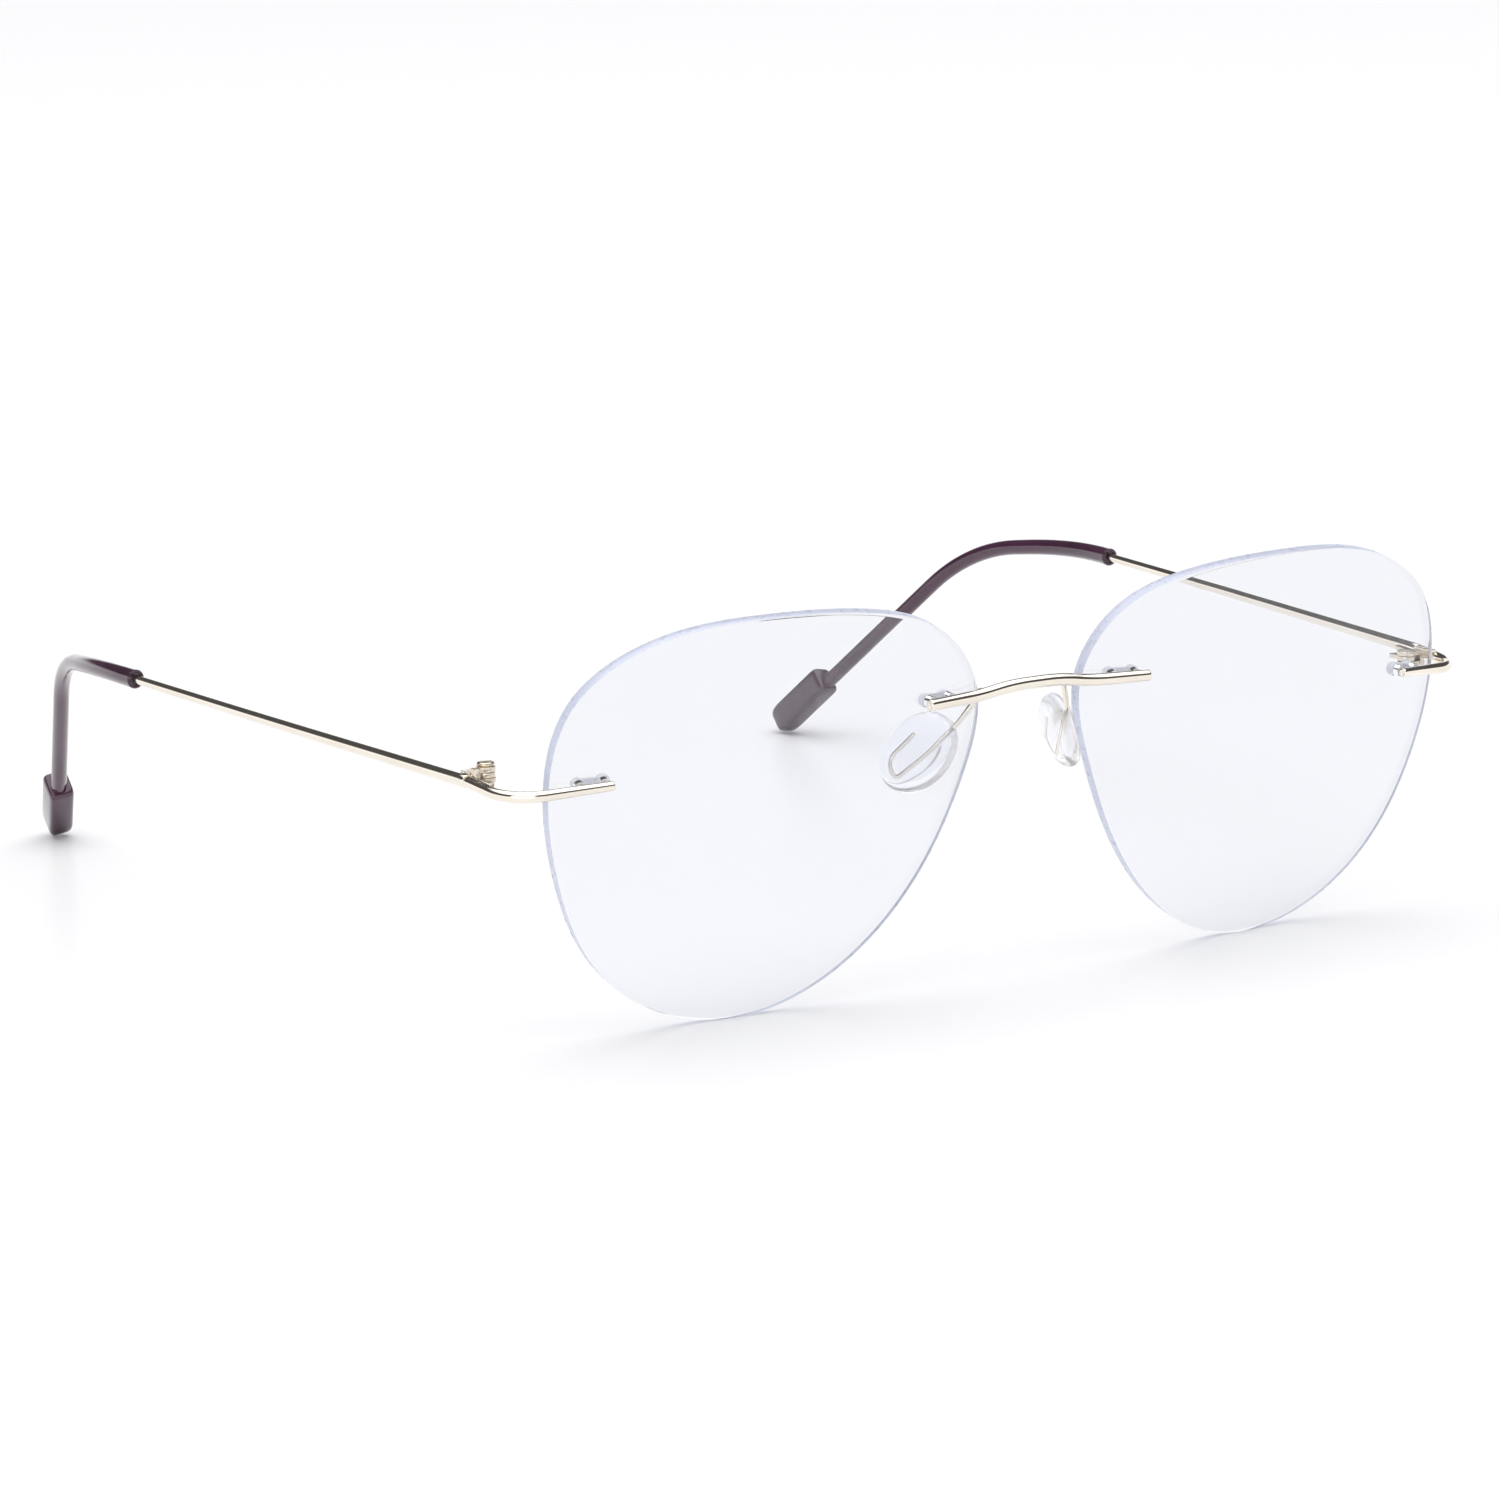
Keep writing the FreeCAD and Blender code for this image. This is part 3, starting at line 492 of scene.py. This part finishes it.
# %% Lenses
HOLE_RADIUS = 0.7
HOLE_PITCH = 2.9
RINGS = (0.985, 0.95, 0.90, 0.84, 0.76, 0.67, 0.57, 0.46, 0.34, 0.22, 0.10)


def ball_depth(x, z, radius):
    """How far behind the front's middle a ball round the lens's centre of curvature lies."""
    return FRONT_BALL - math.sqrt(radius ** 2 - x ** 2 - z ** 2)


def make_lens(label, side):
    """One lens: a net laid on two balls, bridged by its rim and drilled for the two mounts."""
    start_clean()
    bpy.ops.mesh.primitive_circle_add(vertices=len(rim_points), radius=1)
    lens = bpy.context.object
    for spot, (x, z) in zip(lens.data.vertices, rim_points):
        spot.co = (side * x, 0, z)
    bpy.ops.object.mode_set(mode="EDIT")
    bpy.ops.mesh.select_all(action="SELECT")
    share = 1.0
    for ring in RINGS:
        bpy.ops.mesh.extrude_region_move()
        bpy.ops.transform.resize(value=(ring / share,) * 3, center_override=(0, 0, 0))
        share = ring
    bpy.ops.mesh.edge_face_add()
    bpy.ops.mesh.poke()
    bpy.ops.mesh.select_all(action="SELECT")
    bpy.ops.mesh.duplicate()
    bpy.ops.mesh.flip_normals()
    bpy.ops.object.mode_set(mode="OBJECT")
    for spot in lens.data.vertices:
        ball = FRONT_BALL - LENS_THICK if spot.select else FRONT_BALL
        spot.co.y = ball_depth(spot.co.x, spot.co.z, ball)
    bpy.ops.object.mode_set(mode="EDIT")
    bpy.ops.mesh.select_all(action="SELECT")
    bpy.ops.mesh.region_to_loop()
    bpy.ops.mesh.bridge_edge_loops()
    bpy.ops.mesh.select_all(action="SELECT")
    bpy.ops.mesh.normals_make_consistent(inside=False)
    bpy.ops.object.mode_set(mode="OBJECT")
    lens.data.materials.append(lens_clear)
    lens.data.materials.append(lens_rim_painted_shade)
    # Faces across the rim get the rim material, whose blue-grey is painted shade for the edge's dark
    # refraction.
    for face in lens.data.polygons:
        face.material_index = int(abs(face.normal.y) < 0.5)
    place(lens, lens_frame(side))
    soften(lens, 0.14, 2)
    drills = []
    for mount in ("bridge", "endpiece"):
        for along in (-HOLE_PITCH / 2, HOLE_PITCH / 2):
            drill = barrel(HOLE_RADIUS, -3, 3, (along, 0))
            place(drill, mount_frame(mount, side))
            drills.append(drill)
    combine(lens, drills, "DIFFERENCE")
    set_piece(lens, "clear_lens_" + label, "front", ["lens_" + label],
              [lens_clear, lens_rim_painted_shade], 30)


for label, side in SIDES.items():
    make_lens(label, side)

# %% [markdown]
# ## Wire
#
# The bridge, the end pieces and the pad arms are all bent from round wire. A Bezier curve follows each
# run and bend exactly, its bevel gives it thickness, and its radius can shrink towards a tip. It is then
# made a mesh, so that the sawn ends can be dished and their rims rounded.

# %% Wire helpers
def rounded(corners, bends):
    """Bezier knots of a line through corners, each corner rounded from a given distance before it."""
    corners = [Vector(corner) for corner in corners]
    stops = [[corners[0], None, None]]
    for before, corner, after, reach in zip(corners, corners[1:], corners[2:], bends):
        back = (before - corner).normalized()
        ahead = (after - corner).normalized()
        half = back.angle(ahead) / 2
        handle = 4 / 3 * math.tan((math.pi / 2 - half) / 2) * reach * math.tan(half)
        start, finish = corner + back * reach, corner + ahead * reach
        stops.append([start, None, start - back * handle])
        stops.append([finish, finish - ahead * handle, None])
    stops.append([corners[-1], None, None])
    for first, second in zip(stops, stops[1:]):
        if first[2] is None:
            first[2] = first[0].lerp(second[0], 1 / 3)
            second[1] = second[0].lerp(first[0], 1 / 3)
    stops[0][1] = stops[0][0] * 2 - stops[0][2]
    stops[-1][2] = stops[-1][0] * 2 - stops[-1][1]
    return stops


def bend_wire(corners, bends, radius, shares=None, smoothness=12, around=7):
    """A round wire, in millimetres, bent through its corners. The shares thin it, one for each knot."""
    start_clean()
    bpy.ops.curve.primitive_bezier_curve_add(location=(0, 0, 0))
    wire = bpy.context.object
    knots = rounded(corners, bends)
    line = wire.data.splines[0]
    line.bezier_points.add(len(knots) - 2)
    shares = shares or [1.0] * len(knots)
    for knot, (point, before, after), share in zip(line.bezier_points, knots, shares):
        knot.handle_left_type = "FREE"
        knot.handle_right_type = "FREE"
        knot.co = point * MM
        knot.handle_left = before * MM
        knot.handle_right = after * MM
        knot.radius = share
    wire.data.resolution_u = smoothness
    wire.data.bevel_depth = radius * MM
    wire.data.bevel_resolution = around
    bpy.ops.object.convert(target="MESH")
    wire = bpy.context.object
    bpy.ops.object.mode_set(mode="EDIT")
    bpy.ops.mesh.select_all(action="SELECT")
    bpy.ops.mesh.remove_doubles(threshold=0.001 * MM)
    bpy.ops.mesh.fill_holes(sides=0)
    bpy.ops.object.mode_set(mode="OBJECT")
    return wire


def dish_end(wire, tip, width, depth):
    """Press a small round dish into the sawn end of a wire nearest to a point."""
    tip = Vector(tip) * MM
    flat = max((face for face in wire.data.polygons if len(face.vertices) > 8),
               key=lambda face: -(face.center - tip).length)
    index, inward = flat.index, -flat.normal.copy()
    pick_faces(wire, lambda face: face.index == index)
    bpy.ops.mesh.inset(thickness=width * MM)
    bpy.ops.mesh.inset(thickness=0.08 * MM)
    bpy.ops.transform.translate(value=inward * depth * MM)
    bpy.ops.object.mode_set(mode="OBJECT")


# %% Bridge
BRIDGE_RADIUS = 0.75
BRIDGE = [(-15.705, -75.412, 36.146), (-8.192, -74.270, 36.190), (-3.300, -74.270, 36.940),
          (3.300, -74.270, 36.940), (8.192, -74.270, 36.190), (15.705, -75.412, 36.146)]
bridge = bend_wire(BRIDGE, [2.2, 2.2, 2.2, 2.2], BRIDGE_RADIUS, [0.9, 1, 1, 1, 1, 1, 1, 1, 1, 0.9])
soften(bridge, 0.16)
for end in (BRIDGE[0], BRIDGE[-1]):
    dish_end(bridge, end, 0.22, 0.12)
set_piece(bridge, "bent_bridge", "front", ["bridge_wire"], [gold_wire])

# %% End pieces
ENDPIECE_RADIUS = 0.69
for label, side in SIDES.items():
    corners = [(side * 56.315, -72.246, 31.258), (side * 67.900, -68.861, 30.353),
               (side * 68.300, -59.780, 31.080)]
    endpiece = bend_wire(corners, [4.4], ENDPIECE_RADIUS, [0.78, 0.98, 1.0, 1.0], 20)
    soften(endpiece, 0.14)
    dish_end(endpiece, corners[0], 0.15, 0.1)
    set_piece(endpiece, "bent_endpiece_" + label, "front", ["endpiece_" + label], [gold_wire])

# %% [markdown]
# ## Temples
#
# A temple is a springy wire, pressed slightly oval at the hinge and round where it enters its plastic
# tip. It bows out a little, so that it follows the head. A round curve gives the taper and the bow, and
# its upright height is then stretched near the hinge.

# %% Temple wires
TEMPLE_RADIUS = 0.65
TEMPLE_EXTRA_TALL = 0.2


def temple_points(side):
    """The corners of one temple in millimetres, from the hinge to the knob."""
    def out(x, y, z):
        return Vector((side * x, y, z))
    return {"start": out(68.300, -59.600, 31.086), "bow": out(71.980, -15.880, 31.866),
            "sleeve": out(74.103, 14.551, 32.408), "bend": out(74.800, 24.536, 32.586),
            "knee": out(70.600, 43.736, 30.186), "neck": out(61.195, 67.369, 7.761)}


for label, side in SIDES.items():
    spots = temple_points(side)
    shoulder = spots["sleeve"].lerp(spots["bend"], 0.08)
    corners = [spots["start"], spots["bow"], shoulder, spots["bend"], spots["knee"], spots["neck"]]
    thinning = [1.0, 0.95, 0.90, 0.86, 0.69, 0.69, 0.69, 0.69, 0.69, 0.69]
    temple = bend_wire(corners, [16.0, 0.6, 8.4, 8.4], TEMPLE_RADIUS, thinning, 20)
    for spot in temple.data.vertices:
        along = (spot.co.y / MM - spots["start"].y) / (spots["sleeve"].y - spots["start"].y)
        if along < 1:
            level = spots["start"].lerp(spots["sleeve"], along).z * MM
            spot.co.z = level + (spot.co.z - level) * (1 + TEMPLE_EXTRA_TALL * (1 - along))
    soften(temple, 0.14)
    set_piece(temple, "drawn_temple_" + label, "temple_" + label,
              ["temple_wire_" + label], [gold_wire])

# %% [markdown]
# ## Temple tips
#
# Each tip is one moulding: a sleeve with a rounded front, which follows the bend behind the ear, and a
# squared knob. The sleeve is bent like the wire. The knob could be a cube with bevelled edges, but its
# corners are too full for that. Here a circle's points are pushed out towards a rectangle, rings are
# extruded down its length and drawn in at both ends, and the knob and the sleeve are then fused.

# %% Temple tips
SLEEVE_RADIUS = 1.2
KNOB_TURN = math.radians(15)
KNOB_HALF_WIDE = 1.7
KNOB_HALF_DEEP = 2.05
KNOB_SQUARENESS = 0.36
KNOB_OVERLAP = 0.9
KNOB_OFFSET = 0.53

# How far down the knob each ring lies, and its share of the full section.
KNOB_RINGS = [(0.0, 0.80), (0.12, 0.90), (0.4, 0.97), (0.9, 1.0), (9.0, 1.0), (9.8, 0.975), (10.4, 0.92),
              (10.85, 0.83), (11.12, 0.71), (11.28, 0.54)]
for label, side in SIDES.items():
    spots = temple_points(side)
    drop = (spots["neck"] - spots["knee"]).normalized()
    spots["inside"] = spots["neck"] + drop * 2
    corners = [spots[name] for name in ("sleeve", "bend", "knee", "inside")]
    sleeve = bend_wire(corners, [8.9, 8.9], SLEEVE_RADIUS, [1.0, 0.97, 0.88, 0.87, 0.86, 0.88], 24, 11)
    dish_end(sleeve, corners[0], 0.32, 0.3)
    soften(sleeve, 0.22, 4)
    level = Vector((0, 0, 1)).cross(drop).normalized()
    rise = drop.cross(level)
    foot = spots["neck"] - drop * KNOB_OVERLAP + rise * KNOB_OFFSET
    start_clean()
    bpy.ops.mesh.primitive_circle_add(vertices=48, radius=1)
    knob = bpy.context.object
    for spot in knob.data.vertices:
        squarer = [math.copysign(abs(reach) ** KNOB_SQUARENESS, reach) for reach in spot.co[:2]]
        spot.co = (KNOB_HALF_WIDE * squarer[0], KNOB_HALF_DEEP * squarer[1], 0)
    bpy.ops.object.mode_set(mode="EDIT")
    bpy.ops.mesh.select_mode(type="EDGE")
    bpy.ops.mesh.select_all(action="SELECT")
    bpy.ops.transform.resize(value=(KNOB_RINGS[0][1],) * 3)
    for (depth_before, before), (depth_here, here) in zip(KNOB_RINGS, KNOB_RINGS[1:]):
        bpy.ops.mesh.extrude_region_move(TRANSFORM_OT_translate={"value": (0, 0, depth_here - depth_before)})
        bpy.ops.transform.resize(value=(here / before, here / before, 1))
    bpy.ops.mesh.select_all(action="SELECT")
    bpy.ops.mesh.fill_holes(sides=0)
    bpy.ops.mesh.normals_make_consistent(inside=False)
    bpy.ops.object.mode_set(mode="OBJECT")
    twist = Matrix.Rotation(side * KNOB_TURN, 4, "Z")
    place(knob, axes_frame(foot, level, rise, drop) @ twist)
    combine(sleeve, [knob])
    set_piece(sleeve, "moulded_tip_" + label, "temple_" + label, ["temple_tip_" + label],
              [tip_plastic], 50)

# %% [markdown]
# ## Nose pads and their arms
#
# A pad is a soft oval of clear silicone, crowned on both faces, moulded round a loop of thin wire. The
# wire leaves the bridge's underside, swings back and turns down into the pad. A sphere pressed flat
# gives the crowned oval, with its rim kept full.

# %% Pads and arms
PAD_HALF = (6.0, 4.5, 1.35)
PAD_FULLNESS = 0.6
ARM_RADIUS = 0.38
PAD_LOOP = [(-1.2, -1.1), (4.2, -1.6), (4.2, 1.0), (-0.5, 2.1)]


def pad_frame(side):
    """A pad's own frame: X down its length and Z out of the face away from the nose."""
    length = Vector((side * 0.358, 0.757, -0.546)).normalized()
    outer = Vector((side * 0.928, -0.224, 0.298))
    outer = (outer - length * outer.dot(length)).normalized()
    return axes_frame((side * 10.5, -64.364, 28.390), length, outer.cross(length), outer)


for label, side in SIDES.items():
    seat = pad_frame(side)
    loop = [seat @ Vector((along, side * across, 0)) for along, across in [(-7.2, 0.6)] + PAD_LOOP]
    root = Vector((side * 6.137, -74.270, 36.4))
    corners = [root, Vector((side * 6.137, -71.070, 36.205))] + loop
    arm = bend_wire(corners, [1.2, 1.5, 1.4, 1.1, 1.1], ARM_RADIUS, [1.0] * 4 + [0.8] * 8, 12, 5)
    soften(arm, 0.08)
    set_piece(arm, "bent_arm_" + label, "front", ["pad_arm_" + label], [gold_wire])

    start_clean()
    bpy.ops.mesh.primitive_uv_sphere_add(segments=48, ring_count=32, radius=1)
    pad = bpy.context.object
    for spot in pad.data.vertices:
        flat = math.hypot(spot.co.x, spot.co.y)
        full = flat ** PAD_FULLNESS / max(flat, 1e-6)
        spot.co = (spot.co.x * full * PAD_HALF[0], spot.co.y * full * PAD_HALF[1], spot.co.z * PAD_HALF[2])
    place(pad, seat)
    set_piece(pad, "soft_pad_" + label, "front", ["nose_pad_" + label], [pad_silicone], 180)

# %% [markdown]
# ## Lens plugs
#
# Behind each wire end a clear twin plug holds two gold pins. Its two stems fill the drilled holes, a
# strip joins them at the back of the lens, and a domed head covers each pin's end. The pins themselves
# are hidden inside and keep their plain shape.

# %% Plugs
SEAT = LENS_THICK + 0.06
PLUG_HEAD_RADIUS = 0.9
PLUG_HEAD_TALL = 1.1
PIN_BORE_RADIUS = 0.44
for label, side in SIDES.items():
    for mount in ("bridge", "endpiece"):
        where = mount_frame(mount, side)
        plug = block((-HOLE_PITCH / 2, -0.7, SEAT), (HOLE_PITCH / 2, 0.7, SEAT + 0.5))
        place(plug, where)
        soften(plug, 0.12)
        heads, bores = [], []
        for along in (-HOLE_PITCH / 2, HOLE_PITCH / 2):
            head = barrel(PLUG_HEAD_RADIUS, SEAT, SEAT + PLUG_HEAD_TALL, (along, 0))
            pick_faces(head, lambda face: face.normal.z > 0.9)
            bpy.ops.transform.resize(value=(0.82, 0.82, 1), center_override=(along, 0, 0))
            bpy.ops.object.mode_set(mode="OBJECT")
            stem = barrel(HOLE_RADIUS - 0.02, 0.15, SEAT + 0.2, (along, 0))
            bore = barrel(PIN_BORE_RADIUS, -0.5, SEAT + 0.82, (along, 0))
            for item in (head, stem, bore):
                place(item, where)
            soften(head, 0.32, 5)
            heads += [head, stem]
            bores.append(bore)
        combine(plug, heads)
        combine(plug, bores, "DIFFERENCE")
        name = "%s_plug_%s" % (mount, label)
        set_piece(plug, "clear_" + name, "front", [name], [plug_clear], 35)

# %% [markdown]
# ## Hinges
#
# The front half of a hinge is a leaf brazed along the inside of the wire, with two knuckles. The temple
# half has the knuckle between them, a tab and a rib that runs out along the temple. One screw with a
# rounded, slotted head holds them. Both sides use the same hinge. On the wearer's left it is turned
# over, so that its screw head points down.

# %% Hinge halves
HINGE_AXIS = (66.05, -59.964, 31.086)
HINGE_LIFT = 0.7
KNUCKLE_RADIUS = 1.15
HINGE_ROUNDING = 0.07


def hinge_frame(side):
    """Origin on the screw's axis at mid barrel, Z towards the screw's head, the temple's wire at -X."""
    turn = Matrix.Identity(4) if side < 0 else Matrix.Rotation(math.pi, 4, "Y")
    across, back, level = HINGE_AXIS
    return Matrix.Translation(Vector((side * across, back, level - side * HINGE_LIFT))) @ turn


def hinge_bits(side, bits, rounding):
    """Set blocks and barrels in the hinge's frame, round each one, and fuse them."""
    for bit in bits:
        place(bit, hinge_frame(side))
        soften(bit, rounding)
    combine(bits[0], bits[1:])
    return bits[0]


for label, side in SIDES.items():
    bits = [block((-1.95, -4.35, -1.32), (-1.3, 0.22, -0.08)),
            block((-1.93, -1.13, -0.94), (-1.28, 0.20, 0.94))]
    for low, high in ((-0.95, -0.35), (0.35, 0.95)):
        bits.append(barrel(KNUCKLE_RADIUS, low, high))
        bits.append(block((-1.91, -1.0, low + 0.02), (-0.4, 0.18, high - 0.02)))
    leaf = hinge_bits(side, bits, HINGE_ROUNDING)
    bore = barrel(0.52, -2, 2)
    place(bore, hinge_frame(side))
    combine(leaf, [bore], "DIFFERENCE")
    set_piece(leaf, "hinge_leaf_" + label, "front", ["front_hinge_" + label], [hinge_gold], 35)

    rib = block((-1.95, 0.38, -0.7), (-1.2, 3.7, 0.45))
    pick_faces(rib, lambda face: face.normal.y > 0.9)
    bpy.ops.transform.translate(value=(0, 0, -0.42))
    bpy.ops.transform.resize(value=(1, 1, 0.45), center_override=(0, 0, -0.7))
    bpy.ops.object.mode_set(mode="OBJECT")
    bits = [barrel(1.1, -0.3, 0.3), block((-0.8, 0.3, -0.28), (0.7, 1.0, 0.28)),
            block((-1.93, 0.39, -0.29), (0.68, 2.5, 0.29)), rib]
    tab = hinge_bits(side, bits, HINGE_ROUNDING)
    bore = barrel(0.53, -2, 2)
    place(bore, hinge_frame(side))
    combine(tab, [bore], "DIFFERENCE")
    set_piece(tab, "hinge_tab_" + label, "temple_" + label, ["temple_hinge_" + label],
              [hinge_gold], 35)

# %% Screws
for label, side in SIDES.items():
    head = barrel(1.05, 0.96, 1.46)
    shank = barrel(0.5, -0.95, 1.1)
    slot = block((-1.5, -0.125, 1.27), (1.5, 0.125, 2))
    for item in (head, shank, slot):
        place(item, hinge_frame(side))
    soften(head, 0.3, 6)
    combine(head, [shank])
    combine(head, [slot], "DIFFERENCE")
    set_piece(head, "slotted_screw_" + label, "front",
              ["hinge_screw_" + label], [screw_steel], 35)

# %% [markdown]
# ## Pins
#
# The pins inside the plugs already have the right shape, so they only get their finish.

# %% Finish the pins
for mount in ("bridge", "endpiece"):
    for label in SIDES:
        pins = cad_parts["%s_prongs_%s" % (mount, label)]
        pins.data.materials.clear()
        pins.data.materials.append(gold_wire)
